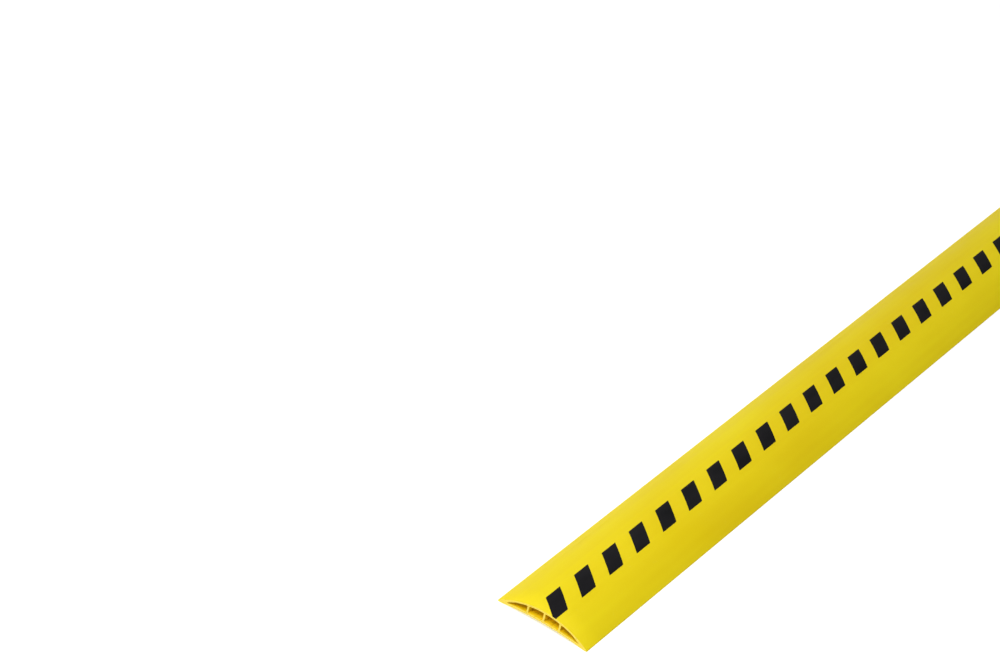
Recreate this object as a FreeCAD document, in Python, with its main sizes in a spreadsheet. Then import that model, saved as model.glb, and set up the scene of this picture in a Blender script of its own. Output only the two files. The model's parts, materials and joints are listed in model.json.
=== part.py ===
# Cable protector ramp: a low arched floor cover extruded in flexible PVC, in millimetres.
# X runs along the ramp, Y across it (left is +Y) and Z up from the floor.
# The origin is on the floor, under the middle of the ramp.
import FreeCAD, Part
import Sketcher
import math
import os

SIZES = {
    "ramp_length": 1000.0,     # cut length of the extrusion
    "ramp_width": 83.0,        # from toe to toe
    "crest_height": 14.0,      # floor to the top of the arch
    "crown_wall": 1.6,         # arched skin
    "base_wall": 2.2,          # floor of the cable channels
    "web_wall": 1.5,           # upright walls
    "web_pitch": 14.8,         # centre web to side web
    "web_fillet": 0.8,         # inside corners of the webs
    "base_camber": 3.0,        # how far the underside bows up in the middle
    "land_width": 3.5,         # flat strip under each toe
    "nose_height": 0.9,        # thickness of the toe at its outer edge
    "nose_fillet": 0.3,
    "cell_tip_inset": 1.8,     # blunts the sharp corner of the outer cells
    "slit_gap": 0.5,           # between the two lips of a channel
    "lip_fillet": 0.25,
    "hinge_gap": 0.05,         # between a flap's round root and its web
    "mark_pitch": 40.0,        # hazard marks, centre to centre
    "mark_length": 20.0,       # of one mark, along the ramp
    "mark_width": 20.0,        # of one mark, across the ramp
    "mark_lean": 18.8,         # left edge of a mark ahead of its right edge
    "mark_foil": 0.1,          # thickness of the stamped foil
    "first_mark": 16.4,        # near end to the centre of the first mark
}

# Sizes that follow from the sheet. Every arc of the section is centred on the Z axis.
DERIVED = {
    "half_length": "Sizes.ramp_length / 2",
    "half_width": "Sizes.ramp_width / 2",
    "crown_rise": "Sizes.crest_height - Sizes.nose_height",
    "crown_radius": "(half_width^2 + crown_rise^2) / (2 * crown_rise)",
    "crown_centre": "Sizes.crest_height - crown_radius",
    "ceiling_radius": "crown_radius - Sizes.crown_wall",
    "foil_radius": "crown_radius + Sizes.mark_foil",
    "land_start": "half_width - Sizes.land_width",
    "base_radius": "(land_start^2 + Sizes.base_camber^2) / (2 * Sizes.base_camber)",
    "base_centre": "Sizes.base_camber - base_radius",
    "floor_radius": "base_radius + Sizes.base_wall",
    "cell_tip_height": "(ceiling_radius^2 - floor_radius^2 + base_centre^2 - crown_centre^2)"
                       " / (2 * (base_centre - crown_centre))",
    "toe_start": "sqrt(ceiling_radius^2 - (cell_tip_height - crown_centre)^2) - Sizes.cell_tip_inset",
    "root_offset": "Sizes.web_wall / 2 + Sizes.hinge_gap + Sizes.base_wall / 2",
    "slit_middle": "Sizes.web_pitch / 2",
}

# Arcs of the section: height of the centre, radius.
CROWN = ("Derived.crown_centre", "Derived.crown_radius")
CEILING = ("Derived.crown_centre", "Derived.ceiling_radius")
FOIL = ("Derived.crown_centre", "Derived.foil_radius")
FLOOR = ("Derived.base_centre", "Derived.floor_radius")
UNDERSIDE = ("Derived.base_centre", "Derived.base_radius")

SIDES = {"left": 1, "right": -1}


def make_sheet(doc):
    sheet = doc.addObject("Spreadsheet::Sheet", "Sizes")
    for row, (name, value) in enumerate(SIZES.items(), start=1):
        sheet.set(f"A{row}", name)
        sheet.set(f"B{row}", str(value))
        sheet.setAlias(f"B{row}", name)
    doc.recompute()
    return sheet


def make_derived(doc):
    derived = doc.addObject("App::VarSet", "Derived")
    for name in DERIVED:
        derived.addProperty("App::PropertyFloat", name, "Derived")
    for name, expression in DERIVED.items():
        derived.setExpression(name, expression)
        doc.recompute()
    return derived


def number(owner, expression):
    return float(owner.evalExpression(expression))


def on_arc(arc, across):
    """The corner of an outline that lies on an arc of the section."""
    centre, radius = arc
    return (across, f"{centre} + sqrt({radius}^2 - ({across})^2)")


def along(arc):
    """An edge of an outline that follows an arc of the section."""
    return ("height", arc[0])


def mirrored(corners, edges):
    """The same outline on the other side of the ramp, still counterclockwise."""
    corners = [(f"-({across})", height) for across, height in reversed(corners)]
    edges = edges[-2::-1] + edges[-1:]
    edges = [("across", f"-({edge[1]})") if edge and edge[0] == "across" else edge for edge in edges]
    return corners, edges


def edge_centre(sketch, start, end, edge):
    """Where the centre of an arc lies: on the Z axis, level with its ends, or outside the outline."""
    kind, expression = edge
    size = number(sketch, expression)
    if kind == "height":
        return FreeCAD.Vector(0, size, 0)
    if kind == "across":
        return FreeCAD.Vector(size, (start.y + end.y) / 2, 0)
    chord = end - start
    outward = FreeCAD.Vector(chord.y, -chord.x, 0).normalize()
    return (start + end) / 2 + outward * math.sqrt(size ** 2 - chord.Length ** 2 / 4)


def add_edge(sketch, start, end, edge):
    """Adds one edge; returns its number and which of its ends is the start and which the end."""
    if edge is None:
        return sketch.addGeometry(Part.LineSegment(start, end)), 1, 2
    centre = edge_centre(sketch, start, end, edge)
    circle = Part.Circle(centre, FreeCAD.Vector(0, 0, 1), (start - centre).Length)
    begin_angle = math.atan2(start.y - centre.y, start.x - centre.x)
    end_angle = math.atan2(end.y - centre.y, end.x - centre.x)
    turn = (end_angle - begin_angle) % math.tau
    if turn < math.pi + 0.001:
        return sketch.addGeometry(Part.ArcOfCircle(circle, begin_angle, end_angle)), 1, 2
    return sketch.addGeometry(Part.ArcOfCircle(circle, end_angle, begin_angle)), 2, 1


def bind(sketch, kind, place, expression):
    """Adds a dimension and binds it to its expression."""
    index = sketch.addConstraint(Sketcher.Constraint(kind, *place, number(sketch, expression)))
    sketch.setExpression(f"Constraints[{index}]", expression)


def draw(sketch, corners, edges):
    """Draws a closed counterclockwise outline with every corner and arc dimensioned.

    An edge is None for a straight line, ("height", z) for an arc centred on the Z axis,
    ("across", y) for a half circle, or ("hollow", radius) for an inside fillet.
    """
    points = [FreeCAD.Vector(number(sketch, across), number(sketch, height), 0)
              for across, height in corners]
    drawn = [add_edge(sketch, start, end, edge)
             for start, end, edge in zip(points, points[1:] + points[:1], edges)]
    for this, following in zip(drawn, drawn[1:] + drawn[:1]):
        join = Sketcher.Constraint("Coincident", this[0], this[2], following[0], following[1])
        sketch.addConstraint(join)
    for (index, begin, _), (across, height), edge in zip(drawn, corners, edges):
        bind(sketch, "DistanceX", (index, begin), across)
        bind(sketch, "DistanceY", (index, begin), height)
        if edge and edge[0] == "height":
            bind(sketch, "DistanceY", (index, 3), edge[1])
        elif edge and edge[0] == "across":
            bind(sketch, "DistanceX", (index, 3), edge[1])
        elif edge:
            bind(sketch, "Radius", (index,), edge[1])


def new_sketch(body, name, role):
    sketch = body.newObject("Sketcher::SketchObject", name)
    plane = next(item for item in body.Origin.OriginFeatures if item.Role == role)
    sketch.AttachmentSupport = [(plane, "")]
    sketch.MapMode = "FlatFace"
    return sketch


def extrusion(doc, label, corners, edges):
    """A body whose section runs the whole length of the ramp."""
    body = doc.addObject("PartDesign::Body", label)
    body.Label = label
    sketch = new_sketch(body, f"{label}_section", "YZ_Plane")
    draw(sketch, corners, edges)
    pad = body.newObject("PartDesign::Pad", f"{label}_length")
    pad.Profile = sketch
    pad.SideType = "Symmetric"
    pad.setExpression("Length", "Sizes.ramp_length")
    return body


def round_long_edges(doc, body, size, across):
    """Rounds the edges that run along the ramp at one distance across it."""
    doc.recompute()
    base = body.Tip
    place = number(body, across)
    names = [f"Edge{count}" for count, edge in enumerate(base.Shape.Edges, start=1)
             if all(abs(vertex.Y - place) < 0.001 for vertex in edge.Vertexes)
             and edge.BoundBox.XLength > edge.BoundBox.ZLength + edge.BoundBox.YLength]
    fillet = body.newObject("PartDesign::Fillet", f"{body.Label}_edges")
    fillet.Base = (base, names)
    fillet.setExpression("Radius", size)


def band(lower, upper, start, end):
    """The outline between two arcs of the section and two upright lines."""
    corners = [on_arc(lower, start), on_arc(lower, end), on_arc(upper, end), on_arc(upper, start)]
    return corners, [along(lower), None, along(upper), None]


def make_crown(doc):
    return extrusion(doc, "crown", *band(CEILING, CROWN, "-Derived.toe_start", "Derived.toe_start"))


def make_toe(doc, side):
    """Solid feather edge with a flat land underneath."""
    corners = [on_arc(UNDERSIDE, "Derived.toe_start"), ("Derived.land_start", "0"),
               ("Derived.half_width", "0"), ("Derived.half_width", "Sizes.nose_height"),
               on_arc(CROWN, "Derived.toe_start")]
    edges = [along(UNDERSIDE), None, None, along(CROWN), None]
    if side == "right":
        corners, edges = mirrored(corners, edges)
    toe = extrusion(doc, f"{side}_toe", corners, edges)
    round_long_edges(doc, toe, "Sizes.nose_fillet", f"{SIDES[side]} * Derived.half_width")
    return toe


def make_base_strip(doc, side):
    """Closed floor of the outer cell, from the side web to the toe."""
    outline = band(UNDERSIDE, FLOOR, "Sizes.web_pitch + Sizes.web_wall / 2", "Derived.toe_start")
    if side == "right":
        outline = mirrored(*outline)
    return extrusion(doc, f"{side}_base_strip", *outline)


def web_outline(middle):
    """An upright wall on the base, spreading into a fillet on each side under the crown."""
    inner = f"{middle} - Sizes.web_wall / 2"
    outer = f"{middle} + Sizes.web_wall / 2"
    inner_height = on_arc(CEILING, inner)[1] + " - Sizes.web_fillet"
    outer_height = on_arc(CEILING, outer)[1] + " - Sizes.web_fillet"
    corners = [on_arc(UNDERSIDE, inner), on_arc(UNDERSIDE, outer), (outer, outer_height),
               on_arc(CEILING, f"{outer} + Sizes.web_fillet"),
               on_arc(CEILING, f"{inner} - Sizes.web_fillet"), (inner, inner_height)]
    fillet = ("hollow", "Sizes.web_fillet")
    return corners, [along(UNDERSIDE), None, fillet, along(CEILING), fillet, None]


def make_centre_web(doc):
    return extrusion(doc, "centre_web", *web_outline("0"))


def make_side_web(doc, side):
    outline = web_outline("Sizes.web_pitch")
    if side == "right":
        outline = mirrored(*outline)
    return extrusion(doc, f"{side}_web", *outline)


def make_inner_flap(doc, side):
    """Half of a channel's floor, hinged at the foot of the centre web."""
    root = "Derived.root_offset"
    lip = "Derived.slit_middle - Sizes.slit_gap / 2"
    corners, edges = band(UNDERSIDE, FLOOR, root, lip)
    edges[3] = ("across", root)
    if side == "right":
        corners, edges = mirrored(corners, edges)
    flap = extrusion(doc, f"{side}_inner_flap", corners, edges)
    round_long_edges(doc, flap, "Sizes.lip_fillet", f"{SIDES[side]} * ({lip})")
    return flap


def make_outer_flap(doc, side):
    """Half of a channel's floor, hinged at the foot of a side web."""
    root = "Sizes.web_pitch - Derived.root_offset"
    lip = "Derived.slit_middle + Sizes.slit_gap / 2"
    corners, edges = band(UNDERSIDE, FLOOR, lip, root)
    edges[1] = ("across", root)
    if side == "right":
        corners, edges = mirrored(corners, edges)
    flap = extrusion(doc, f"{side}_outer_flap", corners, edges)
    round_long_edges(doc, flap, "Sizes.lip_fillet", f"{SIDES[side]} * ({lip})")
    return flap


def mark_count(doc):
    """How many marks start before the far end of the ramp."""
    reach = number(doc.Sizes, "ramp_length - first_mark + (mark_length + mark_lean) / 2")
    return math.floor(reach / number(doc.Sizes, "mark_pitch")) + 1


def make_hazard_mark(doc, place):
    """A leaning foil mark on the crown, cut off where it passes an end of the ramp."""
    half_width = "Sizes.mark_width / 2"
    label = f"hazard_mark_{place + 1:02d}"
    mark = extrusion(doc, label, *band(CROWN, FOIL, f"-{half_width}", half_width))
    doc.recompute()
    strip_volume = mark.Shape.Volume
    middle = f"Sizes.first_mark - Derived.half_length + {place} * Sizes.mark_pitch"
    half_length = "Sizes.mark_length / 2"
    half_lean = "Sizes.mark_lean / 2"
    kept = [(f"{middle} - {half_length} - {half_lean}", f"-{half_width}"),
            (f"{middle} + {half_length} - {half_lean}", f"-{half_width}"),
            (f"{middle} + {half_length} + {half_lean}", half_width),
            (f"{middle} - {half_length} + {half_lean}", half_width)]
    around = [("-Sizes.ramp_length", "-Sizes.ramp_width"), ("Sizes.ramp_length", "-Sizes.ramp_width"),
              ("Sizes.ramp_length", "Sizes.ramp_width"), ("-Sizes.ramp_length", "Sizes.ramp_width")]
    sketch = new_sketch(mark, f"{label}_outline", "XY_Plane")
    draw(sketch, kept, [None] * 4)
    draw(sketch, around, [None] * 4)
    trim = mark.newObject("PartDesign::Pocket", f"{label}_trim")
    trim.Profile = sketch
    trim.Type = "ThroughAll"
    trim.Reversed = True
    doc.recompute()
    if mark.Shape.Volume > strip_volume / 2:
        raise RuntimeError(f"{label} was not trimmed")
    return mark


def check(doc, bodies):
    for item in doc.Objects:
        if "Invalid" in item.State or "Error" in item.State:
            raise RuntimeError(f"{item.Label} failed: {item.State}")
    for body in bodies:
        if body.Shape.isNull() or not body.Shape.isValid() or len(body.Shape.Solids) != 1:
            raise RuntimeError(f"{body.Label} is not one valid solid")


def main():
    doc = FreeCAD.newDocument("CableRamp")
    make_sheet(doc)
    make_derived(doc)
    bodies = [make_crown(doc), make_centre_web(doc)]
    for side in SIDES:
        bodies.append(make_toe(doc, side))
        bodies.append(make_base_strip(doc, side))
        bodies.append(make_side_web(doc, side))
        bodies.append(make_inner_flap(doc, side))
        bodies.append(make_outer_flap(doc, side))
    for place in range(mark_count(doc)):
        bodies.append(make_hazard_mark(doc, place))
    doc.recompute()
    check(doc, bodies)
    os.makedirs("parts", exist_ok=True)
    for body in bodies:
        body.Placement = FreeCAD.Placement()
        body.Shape.exportStep(f"parts/{body.Label}.step")
        print(body.Label, round(body.Shape.Volume, 3), body.Shape.BoundBox)


main()
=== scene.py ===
import json
import math
import bmesh
import bpy
from mathutils import Matrix, Vector


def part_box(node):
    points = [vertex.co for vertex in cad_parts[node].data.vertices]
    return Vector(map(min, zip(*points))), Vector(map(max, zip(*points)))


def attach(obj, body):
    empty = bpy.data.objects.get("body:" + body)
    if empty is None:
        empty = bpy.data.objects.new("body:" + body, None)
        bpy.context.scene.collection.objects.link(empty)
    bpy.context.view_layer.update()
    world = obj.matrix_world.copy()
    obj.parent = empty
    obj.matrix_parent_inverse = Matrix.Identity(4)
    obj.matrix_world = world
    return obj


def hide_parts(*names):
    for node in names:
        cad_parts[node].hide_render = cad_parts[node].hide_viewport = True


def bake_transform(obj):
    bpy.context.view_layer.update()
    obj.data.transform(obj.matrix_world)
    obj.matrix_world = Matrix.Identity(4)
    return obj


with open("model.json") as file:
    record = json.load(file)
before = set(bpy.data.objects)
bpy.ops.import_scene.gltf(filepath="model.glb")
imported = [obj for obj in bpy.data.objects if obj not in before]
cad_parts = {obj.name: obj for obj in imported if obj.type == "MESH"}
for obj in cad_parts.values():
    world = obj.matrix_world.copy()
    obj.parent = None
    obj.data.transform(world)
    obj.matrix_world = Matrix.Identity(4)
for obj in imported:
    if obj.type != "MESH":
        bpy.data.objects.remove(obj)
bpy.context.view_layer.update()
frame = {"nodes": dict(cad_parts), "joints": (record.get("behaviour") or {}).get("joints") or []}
mm = 0.001
near = 2e-6                   # two places closer than this are one
along = Vector((1, 0, 0))
across = Vector((0, 1, 0))
up = Vector((0, 0, 1))
print("frame loaded:", len(frame["nodes"]), "nodes")


# a circle centred on the Z axis, through two points given as (distance across, height)
def arcThrough(first, second):
    squares = first[0] ** 2 + first[1] ** 2 - second[0] ** 2 - second[1] ** 2
    centre = squares / (2 * (first[1] - second[1]))
    return {"centre": centre, "radius": math.hypot(first[0], first[1] - centre)}


def sameCentre(arc, point):
    return {"centre": arc["centre"], "radius": math.hypot(point[0], point[1] - arc["centre"])}


def heightOn(arc, distance):
    return arc["centre"] + math.sqrt(arc["radius"] ** 2 - distance ** 2)


# the extrusion's section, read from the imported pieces
def readSection():
    crownLow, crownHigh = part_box("crown")
    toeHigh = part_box("left_toe")[1]
    stripLow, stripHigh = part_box("left_base_strip")
    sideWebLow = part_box("left_web")[0]
    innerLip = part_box("left_inner_flap")[1].y
    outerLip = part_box("left_outer_flap")[0].y
    crown = arcThrough((0, crownHigh.z), (crownHigh.y, toeHigh.z))
    underside = arcThrough((stripLow.y, sideWebLow.z), (stripHigh.y, stripLow.z))
    webPitch = innerLip + outerLip
    return {
        "nearEnd": crownLow.x,
        "farEnd": crownHigh.x,
        "halfWidth": toeHigh.y,
        "toeStart": crownHigh.y,
        "crown": crown,
        "ceiling": sameCentre(crown, (crownHigh.y, crownLow.z)),
        "underside": underside,
        "floor": sameCentre(underside, (stripLow.y, stripHigh.z)),
        "webPitch": webPitch,
        "webHalf": stripLow.y - webPitch,
        "webFlare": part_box("centre_web")[1].y,
        "innerLip": innerLip,
        "outerLip": outerLip,
        "hinges": {joint["child"]: Vector(joint["pos_m"]) for joint in frame["joints"]},
    }


section = readSection()
nearEnd = section["nearEnd"]
farEnd = section["farEnd"]
sides = {"left": 1, "right": -1}
print("section read: crown radius", round(section["crown"]["radius"] / mm, 2), "mm")


extruding = {
    "arcStep": 0.35 * mm,     # facet of every arc
    "flatStep": 0.5 * mm,     # facet of the toes' nearly flat arcs
    "lengthCuts": 47,         # loops along the ramp
    "cutBevel": 0.12 * mm,    # soft edge that the saw leaves
    "sink": 0.07 * mm,        # dip of the crown over each web
    "sinkWidth": 1.6 * mm,
    "sag": 0.06 * mm,         # uneven crest along the ramp
    "sharpAngle": 32,         # bends sharper than this are shaded as edges, in degrees
}


# removes what lies further than a distance along a direction
def cutSquare(bm, distance, direction):
    geometry = bm.verts[:] + bm.edges[:] + bm.faces[:]
    bmesh.ops.bisect_plane(bm, geom=geometry, dist=1e-7, plane_co=direction * distance, plane_no=direction,
                           clear_outer=True)


# a chain of vertices along an arc, from one distance across to another
def arcChain(bm, arc, start, end, step):
    first = math.asin(start / arc["radius"])
    turn = math.asin(end / arc["radius"]) - first
    place = (nearEnd, start, heightOn(arc, start))
    vertex = bm.verts.new(place)
    steps = max(1, round(abs(turn) * arc["radius"] / step))
    bmesh.ops.spin(bm, geom=[vertex], cent=(nearEnd, 0, arc["centre"]), axis=along, angle=-turn, steps=steps,
                   use_merge=False)


def lineChain(bm, *places):
    vertices = [bm.verts.new((nearEnd, distance, height)) for distance, height in places]
    for pair in zip(vertices, vertices[1:]):
        bm.edges.new(pair)


# closes the chains into one outline and fills it
def fillOutline(bm):
    bmesh.ops.remove_doubles(bm, verts=bm.verts, dist=near)
    bmesh.ops.contextual_create(bm, geom=bm.edges)


# the section between two arcs of one centre, at the near end, square at both sides
def stripBetween(bm, lower, upper, start, end, step):
    arcChain(bm, lower, start, end, step)
    lineChain(bm, (end, heightOn(lower, end)), (end, heightOn(upper, end)))
    arcChain(bm, upper, end, start, step)
    lineChain(bm, (start, heightOn(upper, start)), (start, heightOn(lower, start)))
    fillOutline(bm)


# pulls the filled section out to the far end and divides its long faces
def pullAlong(bm, cuts):
    pulled = bmesh.ops.extrude_face_region(bm, geom=bm.faces[:])["geom"]
    vertices = [item for item in pulled if isinstance(item, bmesh.types.BMVert)]
    length = farEnd - nearEnd
    bmesh.ops.translate(bm, verts=vertices, vec=along * length)
    longEdges = [edge for edge in bm.edges if edge.calc_length() > length - mm]
    bmesh.ops.subdivide_edges(bm, edges=longEdges, cuts=cuts, use_grid_fill=True)
    bmesh.ops.recalc_face_normals(bm, faces=bm.faces)


def softenEdges(bm, edges, size, segments):
    bmesh.ops.bevel(bm, geom=edges, offset=size, offset_type="OFFSET", affect="EDGES", segments=segments,
                    profile=0.5, material=-1, clamp_overlap=True)


def facesEnd(face):
    return abs(face.normal.x) > 0.9


# the rim of both cut faces, apart from where the piece joins its neighbours
def rimEdges(bm, seams):
    rims = []
    for edge in bm.edges:
        first, second = (vertex.co for vertex in edge.verts)
        middle = (first + second) / 2
        atEnd = min(abs(middle.x - nearEnd), abs(middle.x - farEnd)) < near
        level = abs(first.x - second.x) < near
        outline = sum(facesEnd(face) for face in edge.link_faces) == 1
        onSeam = any(seam(middle) for seam in seams)
        if atEnd and level and outline and not onSeam:
            rims.append(edge)
    return rims


# the long edges at one distance across
def edgesAlong(bm, distance):
    found = []
    for edge in bm.edges:
        first, second = (vertex.co for vertex in edge.verts)
        inLine = all(abs(end.y - distance) < near for end in (first, second))
        if inLine and abs(first.x - second.x) > 0.1 * mm:
            found.append(edge)
    return found


# how far the crown dips at a place, from the webs under it and from lying on an uneven floor
def dipAt(place):
    dip = 0
    for web in (-section["webPitch"], 0, section["webPitch"]):
        dip += extruding["sink"] * math.exp(-((place.y - web) / extruding["sinkWidth"]) ** 2)
    longWave = 0.3 * math.sin(place.x * 13.7 + place.y * 9)
    shortWave = 0.2 * math.sin(place.x * 31.3 + 1.1)
    return dip + extruding["sag"] * (0.5 + longWave + shortWave)


# the outer face dips, the ceiling stays
def settleCrown(bm):
    ceiling = section["ceiling"]["radius"]
    wall = section["crown"]["radius"] - ceiling
    for vertex in bm.verts:
        share = (radiusAt(section["crown"], vertex.co) - ceiling) / wall
        vertex.co.z -= dipAt(vertex.co) * max(0, min(1, share))


# material slots: 0 outside, 1 sawn end, 2 inside a cell, in painted shade
def finishPiece(name, bm, nodes, body, materials, inCell=None):
    bmesh.ops.dissolve_degenerate(bm, dist=near / 2, edges=bm.edges)
    for face in bm.faces:
        face.smooth = abs(face.normal.x) < 0.999
        face.material_index = 0
        if len(materials) > 1 and facesEnd(face):
            face.material_index = 1
        elif inCell and inCell(face.calc_center_median()):
            face.material_index = 2
    for edge in bm.edges:
        if edge.calc_face_angle(0) > math.radians(extruding["sharpAngle"]):
            edge.smooth = False
    mesh = bpy.data.meshes.new(name)
    bm.to_mesh(mesh)
    bm.free()
    piece = bpy.data.objects.new(name, mesh)
    bpy.context.scene.collection.objects.link(piece)
    for material in materials:
        mesh.materials.append(material)
    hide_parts(*nodes)
    if body:
        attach(piece, body)
    return piece


# an empty shader group with its named sockets
def newGroup(name, inputs, outputs):
    group = bpy.data.node_groups.new(name, "ShaderNodeTree")
    for label, kind in inputs:
        group.interface.new_socket(name=label, in_out="INPUT", socket_type=kind)
    for label, kind in outputs:
        group.interface.new_socket(name=label, in_out="OUTPUT", socket_type=kind)
    entry = group.nodes.new("NodeGroupInput")
    leave = group.nodes.new("NodeGroupOutput")
    return group, entry, leave


def addNode(tree, kind, **values):
    node = tree.nodes.new(kind)
    for key, value in values.items():
        setattr(node, key, value)
    return node


# places a maths node and feeds its inputs with sockets or numbers
def maths(tree, operation, *values, clamp=False):
    node = addNode(tree, "ShaderNodeMath", operation=operation, use_clamp=clamp)
    for socket, value in zip(node.inputs, values):
        if isinstance(value, (int, float)):
            socket.default_value = value
        else:
            tree.links.new(value, socket)
    return node.outputs[0]


# the sum of two values, each times its share
def blended(tree, first, firstShare, second, secondShare):
    return maths(tree, "ADD", maths(tree, "MULTIPLY", first, firstShare),
                 maths(tree, "MULTIPLY", second, secondShare))


# 0 below a threshold, rising steeply above it to 1
def above(tree, value, threshold, steepness):
    return maths(tree, "MULTIPLY", maths(tree, "SUBTRACT", value, threshold), steepness, clamp=True)


def stretched(tree, vector, scale):
    node = addNode(tree, "ShaderNodeVectorMath", operation="MULTIPLY")
    tree.links.new(vector, node.inputs[0])
    node.inputs[1].default_value = scale
    return node.outputs[0]


def noise(tree, vector, scale, detail, roughness=0.5):
    node = addNode(tree, "ShaderNodeTexNoise")
    tree.links.new(vector, node.inputs["Vector"])
    if isinstance(scale, (int, float)):
        node.inputs["Scale"].default_value = scale
    else:
        tree.links.new(scale, node.inputs["Scale"])
    node.inputs["Detail"].default_value = detail
    node.inputs["Roughness"].default_value = roughness
    return node.outputs["Fac"]


# fine lines that the die leaves along the ramp, drifting slowly over its length
def makeDieLines():
    group, entry, leave = newGroup(
        "dieLines",
        [("Vector", "NodeSocketVector"), ("Lines", "NodeSocketFloat"), ("Bands", "NodeSocketFloat")],
        [("Height", "NodeSocketFloat"), ("Band", "NodeSocketFloat")])
    drawn = stretched(group, entry.outputs["Vector"], (0.004, 1, 1))
    fine = noise(group, drawn, entry.outputs["Lines"], detail=3, roughness=0.6)
    wide = noise(group, drawn, entry.outputs["Bands"], detail=2)
    height = blended(group, fine, 0.35, wide, 0.65)
    group.links.new(height, leave.inputs["Height"])
    group.links.new(wide, leave.inputs["Band"])
    return group


# soft blotches of tone, as in pigmented PVC
def makeMottle():
    group, entry, leave = newGroup(
        "pigmentMottle",
        [("Vector", "NodeSocketVector"), ("Scale", "NodeSocketFloat"), ("Contrast", "NodeSocketFloat")],
        [("Mask", "NodeSocketFloat")])
    drawn = stretched(group, entry.outputs["Vector"], (0.35, 1, 1))
    broad = noise(group, drawn, entry.outputs["Scale"], detail=3, roughness=0.55)
    centred = maths(group, "SUBTRACT", broad, 0.5)
    swing = maths(group, "MULTIPLY", centred, entry.outputs["Contrast"])
    mask = maths(group, "ADD", swing, 0.5, clamp=True)
    group.links.new(mask, leave.inputs["Mask"])
    return group


# hairline scuffs and rubbed patches from handling and shoes
def makeScuffs():
    group, entry, leave = newGroup(
        "handlingScuffs",
        [("Vector", "NodeSocketVector"), ("Amount", "NodeSocketFloat")],
        [("Scratch", "NodeSocketFloat"), ("Rub", "NodeSocketFloat")])
    turned = addNode(group, "ShaderNodeMapping")
    turned.inputs["Rotation"].default_value = (0, 0, 0.5)
    group.links.new(entry.outputs["Vector"], turned.inputs["Vector"])
    drawn = stretched(group, turned.outputs["Vector"], (0.03, 1, 1))
    hair = noise(group, drawn, scale=1400, detail=2, roughness=0.7)
    patches = noise(group, entry.outputs["Vector"], scale=24, detail=3)
    thin = above(group, hair, threshold=0.66, steepness=9)
    where = above(group, patches, threshold=0.52, steepness=6)
    scratch = maths(group, "MULTIPLY", maths(group, "MULTIPLY", thin, where), entry.outputs["Amount"])
    group.links.new(scratch, leave.inputs["Scratch"])
    group.links.new(maths(group, "MULTIPLY", patches, entry.outputs["Amount"]), leave.inputs["Rub"])
    return group


dieLines = makeDieLines()
pigmentMottle = makeMottle()
handlingScuffs = makeScuffs()


def newMaterial(name):
    material = bpy.data.materials.new(name)
    material.use_nodes = True
    tree = material.node_tree
    shader = tree.nodes["Principled BSDF"]
    place = addNode(tree, "ShaderNodeTexCoord").outputs["Object"]
    return material, tree, shader, place


def useGroup(tree, group, place, **values):
    node = addNode(tree, "ShaderNodeGroup", node_tree=group)
    tree.links.new(place, node.inputs["Vector"])
    for label, value in values.items():
        node.inputs[label].default_value = value
    return node.outputs


def mixColours(tree, factor, first, second, blend="MIX"):
    node = addNode(tree, "ShaderNodeMix", data_type="RGBA", blend_type=blend)
    for label, value in (("Factor", factor), ("A", first), ("B", second)):
        socket = node.inputs[label]
        if isinstance(value, tuple):
            socket.default_value = (*value, 1)
        elif isinstance(value, (int, float)):
            socket.default_value = value
        else:
            tree.links.new(value, socket)
    return node.outputs["Result"]


# stretches a noise's middle range to run from low to high
def spread(tree, value, low, high):
    node = addNode(tree, "ShaderNodeMapRange")
    tree.links.new(value, node.inputs["Value"])
    node.inputs["From Min"].default_value = 0.25
    node.inputs["From Max"].default_value = 0.75
    node.inputs["To Min"].default_value = low
    node.inputs["To Max"].default_value = high
    return node.outputs["Result"]


# a bump node, on top of another one's normal where that is given
def bump(tree, height, strength, distance, below=None):
    node = addNode(tree, "ShaderNodeBump")
    node.inputs["Strength"].default_value = strength
    node.inputs["Distance"].default_value = distance
    tree.links.new(height, node.inputs["Height"])
    if below is not None:
        tree.links.new(below, node.inputs["Normal"])
    return node.outputs["Normal"]


yellowLook = {
    "deep": (0.89, 0.665, 0.001),
    "bright": (0.96, 0.775, 0.005),
    "scuffed": (0.96, 0.86, 0.16),
    "smooth": 0.40,
    "dull": 0.54,
    "specular": 0.34,
    "lineDepth": 0.26 * mm,
    "grainDepth": 0.09 * mm,
}


# the smooth outside, with die lines and scuffs
def makeYellowPvc():
    material, tree, shader, place = newMaterial("yellowPvc")
    lines = useGroup(tree, dieLines, place, Lines=900.0, Bands=130.0)
    mottle = useGroup(tree, pigmentMottle, place, Scale=14.0, Contrast=2.2)
    scuffs = useGroup(tree, handlingScuffs, place, Amount=0.9)
    tone = blended(tree, mottle["Mask"], 0.6, lines["Band"], 0.4)
    colour = mixColours(tree, spread(tree, tone, 0, 1), yellowLook["deep"], yellowLook["bright"])
    colour = mixColours(tree, maths(tree, "MULTIPLY", scuffs["Scratch"], 0.7), colour, yellowLook["scuffed"])
    tree.links.new(colour, shader.inputs["Base Color"])
    gloss = blended(tree, scuffs["Rub"], 1.0, lines["Band"], 0.5)
    roughness = spread(tree, gloss, yellowLook["smooth"], yellowLook["dull"])
    tree.links.new(roughness, shader.inputs["Roughness"])
    grain = noise(tree, place, scale=2200, detail=2)
    grainy = bump(tree, grain, 0.4, yellowLook["grainDepth"])
    relief = bump(tree, lines["Height"], 0.6, yellowLook["lineDepth"], below=grainy)
    tree.links.new(relief, shader.inputs["Normal"])
    shader.inputs["Specular IOR Level"].default_value = yellowLook["specular"]
    return material


cutLook = {
    "pale": (0.96, 0.76, 0.12),
    "deep": (0.94, 0.70, 0.035),
    "rough": (0.55, 0.75),
    "sawDepth": 0.16 * mm,
}


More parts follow.
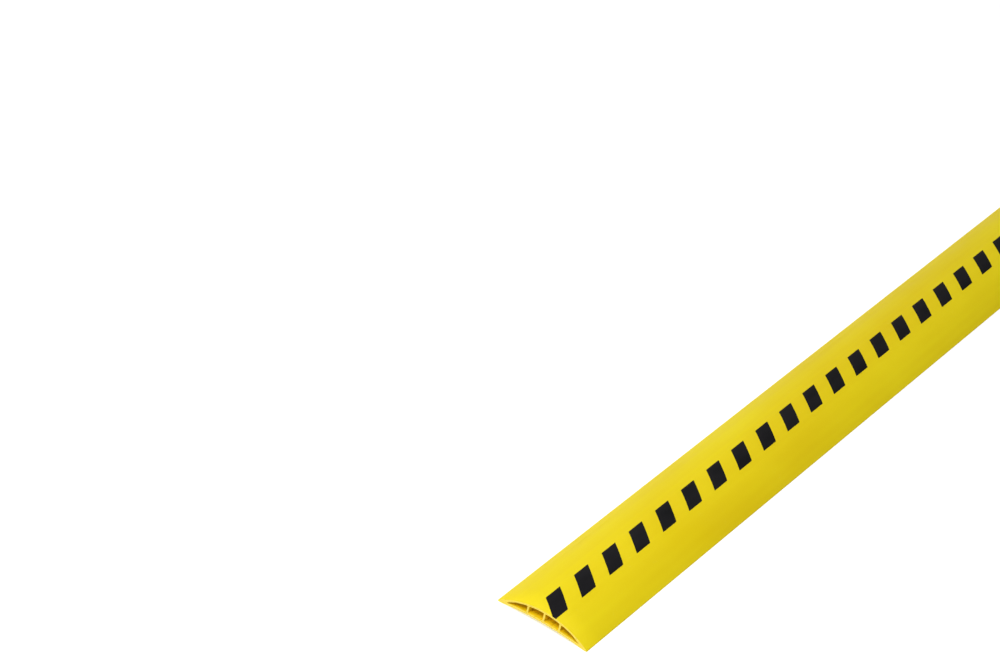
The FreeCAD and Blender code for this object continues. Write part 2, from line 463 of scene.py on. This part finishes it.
# where the saw went through: paler, matt, with strokes of the blade
def makeCutPvc():
    material, tree, shader, place = newMaterial("cutPvc")
    turned = addNode(tree, "ShaderNodeMapping")
    turned.inputs["Rotation"].default_value = (0.35, 0, 0)
    tree.links.new(place, turned.inputs["Vector"])
    drawn = stretched(tree, turned.outputs["Vector"], (1, 0.06, 1))
    strokes = noise(tree, drawn, scale=2600, detail=3, roughness=0.65)
    mottle = useGroup(tree, pigmentMottle, place, Scale=400.0, Contrast=1.4)
    tone = blended(tree, strokes, 0.6, mottle["Mask"], 0.4)
    colour = mixColours(tree, spread(tree, tone, 0, 1), cutLook["deep"], cutLook["pale"])
    tree.links.new(colour, shader.inputs["Base Color"])
    tree.links.new(spread(tree, strokes, *cutLook["rough"]), shader.inputs["Roughness"])
    tree.links.new(bump(tree, strokes, 0.8, cutLook["sawDepth"]), shader.inputs["Normal"])
    return material


# painted shade and painted amber light shining through the plastic: a darker, more amber copy of the outside
# yellow, used inside the cells
cellShadeLook = {
    "deep": (0.88, 0.58, 0.001),
    "bright": (0.95, 0.70, 0.003),
    "rough": (0.5, 0.65),
    "specular": 0.3,
    "lineDepth": 0.15 * mm,
}


# inside the cells the die leaves the plastic rougher; the darker, more amber yellow there is painted shade
# and painted amber light shining through the plastic
def makeShadedCellPvc():
    material, tree, shader, place = newMaterial("shadedCellPvc")
    lines = useGroup(tree, dieLines, place, Lines=1100.0, Bands=260.0)
    mottle = useGroup(tree, pigmentMottle, place, Scale=30.0, Contrast=1.8)
    tone = blended(tree, mottle["Mask"], 0.5, lines["Band"], 0.5)
    colour = mixColours(tree, spread(tree, tone, 0, 1), cellShadeLook["deep"], cellShadeLook["bright"])
    tree.links.new(colour, shader.inputs["Base Color"])
    tree.links.new(spread(tree, lines["Band"], *cellShadeLook["rough"]), shader.inputs["Roughness"])
    tree.links.new(bump(tree, lines["Height"], 0.5, cellShadeLook["lineDepth"]), shader.inputs["Normal"])
    shader.inputs["Specular IOR Level"].default_value = cellShadeLook["specular"]
    return material


foilLook = {
    "dark": (0.003, 0.003, 0.004),
    "faded": (0.007, 0.006, 0.008),
    "scuffed": (0.04, 0.036, 0.03),
    "smooth": 0.42,
    "dull": 0.56,
    "specular": 0.28,
    "pimpleDepth": 0.05 * mm,
    "lineDepth": 0.10 * mm,
}


# the marks' foil: finely pimpled over the plastic's own lines
def makeBlackFoil():
    material, tree, shader, place = newMaterial("blackFoil")
    lines = useGroup(tree, dieLines, place, Lines=900.0, Bands=160.0)
    mottle = useGroup(tree, pigmentMottle, place, Scale=60.0, Contrast=1.8)
    scuffs = useGroup(tree, handlingScuffs, place, Amount=0.8)
    colour = mixColours(tree, spread(tree, mottle["Mask"], 0, 1), foilLook["dark"], foilLook["faded"])
    colour = mixColours(tree, maths(tree, "MULTIPLY", scuffs["Scratch"], 0.6), colour, foilLook["scuffed"])
    tree.links.new(colour, shader.inputs["Base Color"])
    gloss = spread(tree, mottle["Mask"], foilLook["smooth"], foilLook["dull"])
    tree.links.new(gloss, shader.inputs["Roughness"])
    pimples = noise(tree, place, scale=1500, detail=2)
    pimpled = bump(tree, pimples, 0.5, foilLook["pimpleDepth"])
    relief = bump(tree, lines["Height"], 0.6, foilLook["lineDepth"], below=pimpled)
    tree.links.new(relief, shader.inputs["Normal"])
    shader.inputs["Specular IOR Level"].default_value = foilLook["specular"]
    return material


yellowPvc = makeYellowPvc()
cutPvc = makeCutPvc()
shadedCellPvc = makeShadedCellPvc()
blackFoil = makeBlackFoil()
pvcMaterials = (yellowPvc, cutPvc, shadedCellPvc)
print("materials made")


# the cut between two pieces, at one distance across on either side
def atSeam(distance):
    return lambda place: abs(abs(place.y) - distance) < near


def radiusAt(arc, place):
    return math.hypot(place.y, place.z - arc["centre"])


def onArc(arc, place):
    return abs(radiusAt(arc, place) - arc["radius"]) < near


# a rim along an arc that stays sharp, because other pieces meet the cut there
def alongArc(arc):
    return lambda place: onArc(arc, place)


# pieces are made on the left and mirrored for the right
def mirrorAcross(bm, side):
    if side == "right":
        bmesh.ops.scale(bm, vec=(1, -1, 1), verts=bm.verts)
        bmesh.ops.recalc_face_normals(bm, faces=bm.faces)


toeShape = {
    "noseRound": 0.34 * mm,
    "landWidth": 3.5 * mm,    # flat strip that the ramp stands on
    "cellTip": 8.2 * mm,      # where the outer cell closes, in from the edge
    "tongue": 15.0 * mm,      # where its ceiling starts to come down to that tip
    "tipHeight": 0.25 * mm,
}
cellTip = section["halfWidth"] - toeShape["cellTip"]
tongueStart = section["halfWidth"] - toeShape["tongue"]


def buildCrown():
    bm = bmesh.new()
    stripBetween(bm, section["ceiling"], section["crown"], -section["toeStart"], section["toeStart"],
                 extruding["arcStep"])
    pullAlong(bm, extruding["lengthCuts"])
    seams = [atSeam(section["toeStart"]), alongArc(section["ceiling"])]
    softenEdges(bm, rimEdges(bm, seams), extruding["cutBevel"], segments=2)
    settleCrown(bm)
    middle = (section["ceiling"]["radius"] + section["crown"]["radius"]) / 2
    piece = finishPiece("crownSkin", bm, ["crown"], "ramp", pvcMaterials,
                        lambda place: radiusAt(section["crown"], place) < middle)


# the solid edge, with a tongue under the crown that closes the outer cell to a point
def buildToe(side):
    bm = bmesh.new()
    start = section["toeStart"]
    outer = section["halfWidth"]
    landStart = outer - toeShape["landWidth"]
    tip = (cellTip, heightOn(section["floor"], cellTip) + toeShape["tipHeight"])
    closing = arcThrough((tongueStart, heightOn(section["ceiling"], tongueStart)), tip)
    arcChain(bm, section["underside"], start, landStart, extruding["flatStep"])
    lineChain(bm, (landStart, 0), (outer, 0), (outer, heightOn(section["crown"], outer)))
    arcChain(bm, section["crown"], outer, start, extruding["arcStep"])
    lineChain(bm, (start, heightOn(section["crown"], start)), (start, heightOn(section["ceiling"], start)))
    arcChain(bm, section["ceiling"], start, tongueStart, extruding["arcStep"])
    arcChain(bm, closing, tongueStart, cellTip, extruding["arcStep"])
    lineChain(bm, tip, (cellTip, heightOn(section["floor"], cellTip)))
    arcChain(bm, section["floor"], cellTip, start, extruding["flatStep"])
    lineChain(bm, (start, heightOn(section["floor"], start)), (start, heightOn(section["underside"], start)))
    fillOutline(bm)
    pullAlong(bm, extruding["lengthCuts"])
    softenEdges(bm, edgesAlong(bm, outer), toeShape["noseRound"], segments=5)
    seams = [lambda place: place.y < start + near]
    softenEdges(bm, rimEdges(bm, seams), extruding["cutBevel"], segments=2)
    mirrorAcross(bm, side)
    piece = finishPiece(f"{side}ToeSkin", bm, [f"{side}_toe"], "ramp", pvcMaterials,
                        lambda place: abs(place.y) < start - 0.1 * mm)


# the upper half of the floors, which shows inside the cells
def aboveFloorMiddle(place):
    middle = (section["underside"]["radius"] + section["floor"]["radius"]) / 2
    return radiusAt(section["floor"], place) > middle


# the closed floor of an outer cell
def buildBaseStrip(side):
    bm = bmesh.new()
    start = section["webPitch"] + section["webHalf"]
    end = section["toeStart"]
    stripBetween(bm, section["underside"], section["floor"], start, end, extruding["arcStep"])
    pullAlong(bm, extruding["lengthCuts"])
    seams = [atSeam(start), atSeam(end), alongArc(section["floor"])]
    softenEdges(bm, rimEdges(bm, seams), extruding["cutBevel"], segments=2)
    mirrorAcross(bm, side)
    piece = finishPiece(f"{side}BaseStripSkin", bm, [f"{side}_base_strip"], "ramp", pvcMaterials,
                        aboveFloorMiddle)


webShape = {
    "filletSteps": 6,
    "headStep": 0.35 * mm,
}


# one flank of a web: up its face, then round the fillet to the crown
def webFlank(bm, middle, direction):
    flare = section["webFlare"] - section["webHalf"]
    face = middle + direction * section["webHalf"]
    filletTop = face + direction * flare
    springing = heightOn(section["ceiling"], face) - flare    # where the fillet starts
    floor = heightOn(section["floor"], face)
    # the stop under the floor keeps the cut's bevel out of the foot
    levels = (heightOn(section["underside"], face), floor - extruding["cutBevel"], floor, springing)
    lineChain(bm, *[(face, level) for level in levels])
    below = set(bm.verts)
    vertex = bm.verts.new((nearEnd, face, springing))
    bmesh.ops.spin(bm, geom=[vertex], cent=(nearEnd, filletTop, springing), axis=along,
                   angle=direction * -math.pi / 2, steps=webShape["filletSteps"], use_merge=False)
    # the crown slopes here, so the fillet leans with it
    rise = heightOn(section["ceiling"], filletTop) - heightOn(section["ceiling"], face)
    for vertex in bm.verts:
        if vertex not in below:
            vertex.co.z += rise * (vertex.co.y - face) / (filletTop - face)
    return filletTop


# an upright wall, from the underside up to the crown's ceiling
def buildWeb(name, node, middle):
    bm = bmesh.new()
    leftTop = webFlank(bm, middle, 1)
    rightTop = webFlank(bm, middle, -1)
    arcChain(bm, section["ceiling"], rightTop, leftTop, webShape["headStep"])
    bottoms = [middle + direction * section["webHalf"] for direction in (-1, 1)]
    lineChain(bm, *[(place, heightOn(section["underside"], place)) for place in bottoms])
    fillOutline(bm)
    pullAlong(bm, extruding["lengthCuts"])
    floorHeight = heightOn(section["floor"], abs(middle) + section["webHalf"])
    flank = section["webHalf"] - near
    seams = [alongArc(section["ceiling"]),
             lambda place: abs(place.y - middle) > flank and place.z < floorHeight - near]
    softenEdges(bm, rimEdges(bm, seams), extruding["cutBevel"], segments=2)
    piece = finishPiece(name, bm, [node], "ramp", pvcMaterials, lambda place: place.z > floorHeight)


flapShape = {
    "step": 0.16 * mm,
    "lipRound": 0.10 * mm,
    "lipReach": 0.15 * mm,      # how far the soft lips stand out, so that they nearly meet
    "grooveHalf": 0.85 * mm,    # half the width of the thinned hinge line
    "grooveTop": 0.32 * mm,     # its depth in the channel's floor
    "grooveBottom": 0.50 * mm,  # and in the underside
}


# thins the floor along its hinge line, so that it can bend there
def thinHinge(bm, hinge):
    middle = (section["underside"]["radius"] + section["floor"]["radius"]) / 2
    for vertex in bm.verts:
        reach = abs(vertex.co.y - hinge) / flapShape["grooveHalf"]
        if reach < 1:
            dent = 0.5 + 0.5 * math.cos(math.pi * reach)
            arm = Vector((0, vertex.co.y, vertex.co.z - section["underside"]["centre"]))
            depth = -flapShape["grooveTop"] if arm.length > middle else flapShape["grooveBottom"]
            vertex.co += arm.normalized() * depth * dent


# half of a channel's floor, thinned along its hinge line
def buildFlap(side, place):
    bm = bmesh.new()
    node = f"{side}_{place}_flap"
    hinge = abs(section["hinges"][node].y)
    if place == "inner":
        root = section["webHalf"]
        lip = section["innerLip"] + flapShape["lipReach"]
    else:
        root = section["webPitch"] - section["webHalf"]
        lip = section["outerLip"] - flapShape["lipReach"]
    start, end = sorted((root, lip))
    stripBetween(bm, section["underside"], section["floor"], start, end, flapShape["step"])
    thinHinge(bm, hinge)
    pullAlong(bm, extruding["lengthCuts"])
    softenEdges(bm, edgesAlong(bm, lip), flapShape["lipRound"], segments=3)
    softenEdges(bm, rimEdges(bm, [atSeam(root)]), extruding["cutBevel"], segments=2)
    mirrorAcross(bm, side)
    piece = finishPiece(f"{side}{place.capitalize()}FlapSkin", bm, [node], None, pvcMaterials,
                        aboveFloorMiddle)
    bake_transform(piece)


buildCrown()
buildWeb("centreWebSkin", "centre_web", 0)
for side, sign in sides.items():
    buildToe(side)
    buildBaseStrip(side)
    buildWeb(f"{side}WebSkin", f"{side}_web", sign * section["webPitch"])
    buildFlap(side, "inner")
    buildFlap(side, "outer")
print("extrusion built")


markShape = {
    "cornerRound": 0.5 * mm,
    "bendStep": 1.0 * mm,     # strips narrow enough to follow the arch
    "press": 0.02 * mm,       # how far the foil is pressed into the crown
    "sink": 0.02 * mm,        # how much lower its underside lies
    "trim": 0.02 * mm,        # how far it is cut back from the ramp's ends
}


# outline of a full mark and the pitch, read from the second and third marks
def readMarks():
    low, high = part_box("hazard_mark_02")
    vertices = [vertex.co for vertex in frame["nodes"]["hazard_mark_02"].data.vertices]
    rightEdge = [place.x for place in vertices if abs(place.y - low.y) < near]
    leftEdge = [place.x for place in vertices if abs(place.y - high.y) < near]
    return {
        "length": max(rightEdge) - min(rightEdge),
        "lean": min(leftEdge) - min(rightEdge),
        "width": high.y - low.y,
        "centre": (low.x + high.x) / 2,
        "pitch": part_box("hazard_mark_03")[0].x - low.x,
        "foil": high.z - heightOn(section["crown"], 0),
    }


marks = readMarks()


# one mark: flat at first, then cut at the ends and bent over the crown
def buildMark(number):
    bm = bmesh.new()
    bmesh.ops.create_grid(bm, x_segments=1, y_segments=1, size=0.5)
    corners = bm.verts[:]
    bmesh.ops.scale(bm, vec=(marks["length"], marks["width"], 1), verts=corners)
    for vertex in corners:
        vertex.co.x += vertex.co.y / marks["width"] * marks["lean"]
    bmesh.ops.bevel(bm, geom=corners, offset=markShape["cornerRound"], affect="VERTICES", segments=4,
                    profile=0.5, material=-1)
    centre = marks["centre"] + (number - 2) * marks["pitch"]
    bmesh.ops.translate(bm, verts=bm.verts, vec=along * centre)
    cutSquare(bm, farEnd - markShape["trim"], along)
    cutSquare(bm, -nearEnd - markShape["trim"], -along)
    strips = round(marks["width"] / markShape["bendStep"])
    for count in range(1, strips):
        place = across * (marks["width"] * (count / strips - 0.5))
        geometry = bm.verts[:] + bm.edges[:] + bm.faces[:]
        bmesh.ops.bisect_plane(bm, geom=geometry, dist=1e-7, plane_co=place, plane_no=across)
    pulled = bmesh.ops.extrude_face_region(bm, geom=bm.faces[:])["geom"]
    top = {item for item in pulled if isinstance(item, bmesh.types.BMVert)}
    for vertex in bm.verts:
        rise = marks["foil"] if vertex in top else -markShape["press"]
        radius = section["crown"]["radius"] + rise
        angle = vertex.co.y / section["crown"]["radius"]
        dip = dipAt(vertex.co) + (0 if vertex in top else markShape["sink"])
        vertex.co.y = radius * math.sin(angle)
        vertex.co.z = section["crown"]["centre"] + radius * math.cos(angle) - dip
    bmesh.ops.recalc_face_normals(bm, faces=bm.faces)
    piece = finishPiece(f"hazardMark{number:02d}", bm, [f"hazard_mark_{number:02d}"], "ramp", (blackFoil,))


markCount = sum(node.startswith("hazard_mark") for node in frame["nodes"])
for number in range(1, markCount + 1):
    buildMark(number)
print("hazard marks built:", markCount)


stageLook = {
    "floorSize": 60.0,
    "floorColour": (0.86, 0.86, 0.86),
    "lift": 0.48,            # brings the floor up to white where it is looked at
}


# a plain floor, seen white, that keeps the ramp's shadow
def buildFloor():
    bm = bmesh.new()
    bmesh.ops.create_grid(bm, x_segments=1, y_segments=1, size=stageLook["floorSize"] / 2)
    mesh = bpy.data.meshes.new("floor")
    bm.to_mesh(mesh)
    bm.free()
    floor = bpy.data.objects.new("floor", mesh)
    bpy.context.scene.collection.objects.link(floor)
    material, tree, shader, place = newMaterial("paleFloor")
    shader.inputs["Base Color"].default_value = (*stageLook["floorColour"], 1)
    shader.inputs["Roughness"].default_value = 0.9
    shader.inputs["Specular IOR Level"].default_value = 0.1
    rays = addNode(tree, "ShaderNodeLightPath").outputs
    seen = maths(tree, "MAXIMUM", rays["Is Camera Ray"],
                 maths(tree, "MAXIMUM", rays["Is Glossy Ray"], rays["Is Transmission Ray"]))
    lift = addNode(tree, "ShaderNodeEmission")
    tree.links.new(maths(tree, "MULTIPLY", seen, stageLook["lift"]), lift.inputs["Strength"])
    added = addNode(tree, "ShaderNodeAddShader")
    tree.links.new(shader.outputs[0], added.inputs[0])
    tree.links.new(lift.outputs[0], added.inputs[1])
    output = next(node for node in tree.nodes if node.type == "OUTPUT_MATERIAL")
    tree.links.new(added.outputs[0], output.inputs["Surface"])
    mesh.materials.append(material)


lamps = {
    "frontSoftbox": {"place": (-1.6, -0.1, 2.2), "aim": (-0.4, 0, 0), "size": (1.4, 1.2), "power": 36},
    "lowFill": {"place": (-2.5, 0.5, 0.7), "aim": (-0.5, 0, 0), "size": (1.2, 0.6), "power": 11},
}
overhead = {"from": (-0.1, 0.2, 1), "softness": 50, "strength": 0.88}


# turns a light from its place to its aim
def addLamp(name, light, place, aim):
    lamp = bpy.data.objects.new(name, light)
    lamp.location = place
    lamp.rotation_euler = (Vector(aim) - Vector(place)).to_track_quat("-Z", "Y").to_euler()
    bpy.context.scene.collection.objects.link(lamp)


def buildLamps():
    for name, look in lamps.items():
        light = bpy.data.lights.new(name, "AREA")
        light.shape = "RECTANGLE"
        light.size, light.size_y = look["size"]
        light.energy = look["power"]
        addLamp(name, light, look["place"], look["aim"])
    ceiling = bpy.data.lights.new("ceilingLight", "SUN")
    ceiling.angle = math.radians(overhead["softness"])
    ceiling.energy = overhead["strength"]
    addLamp("ceilingLight", ceiling, overhead["from"], (0, 0, 0))


worldLook = {
    "dim": 0.08,             # strength on the ramp's right, where the studio is dark
    "lit": 0.40,             # and on its left, where it is pale
    "from": 0.0,
    "to": 1.1,
}


def buildWorld():
    world = bpy.data.worlds.new("studio")
    bpy.context.scene.world = world
    world.use_nodes = True
    tree = world.node_tree
    background = tree.nodes["Background"]
    background.inputs["Color"].default_value = (1, 1, 1, 1)
    direction = addNode(tree, "ShaderNodeTexCoord").outputs["Generated"]
    apart = addNode(tree, "ShaderNodeSeparateXYZ")
    tree.links.new(direction, apart.inputs[0])
    blendOver = addNode(tree, "ShaderNodeMapRange", interpolation_type="SMOOTHSTEP")
    tree.links.new(apart.outputs["Y"], blendOver.inputs["Value"])
    blendOver.inputs["From Min"].default_value = worldLook["from"]
    blendOver.inputs["From Max"].default_value = worldLook["to"]
    blendOver.inputs["To Min"].default_value = worldLook["dim"]
    blendOver.inputs["To Max"].default_value = worldLook["lit"]
    tree.links.new(blendOver.outputs["Result"], background.inputs["Strength"])


cameraLook = {
    "place": (-2.3856, -0.8811, 1.6222),
    "azimuth": 27.269,       # from +X towards +Y
    "elevation": -33.300,
    "roll": -12.693,
    "lens": 124.42,
}


def buildCamera():
    data = bpy.data.cameras.new("camera")
    data.lens = cameraLook["lens"]
    data.sensor_width = 36
    data.clip_start = 0.05
    data.clip_end = 100
    camera = bpy.data.objects.new("camera", data)
    turn = math.radians(cameraLook["azimuth"])
    tilt = math.radians(cameraLook["elevation"])
    forward = Vector((math.cos(turn) * math.cos(tilt), math.sin(turn) * math.cos(tilt), math.sin(tilt)))
    level = forward.cross(up).normalized()
    upright = level.cross(forward)
    roll = math.radians(cameraLook["roll"])
    top = upright * math.cos(roll) + level * math.sin(roll)
    right = level * math.cos(roll) - upright * math.sin(roll)
    turned = Matrix((right, top, -forward)).transposed().to_4x4()
    camera.matrix_world = Matrix.Translation(cameraLook["place"]) @ turned
    bpy.context.scene.collection.objects.link(camera)
    bpy.context.scene.camera = camera


buildFloor()
buildLamps()
buildWorld()
buildCamera()
bpy.context.scene.view_settings.view_transform = "Standard"
print("stage, lamps and camera placed")
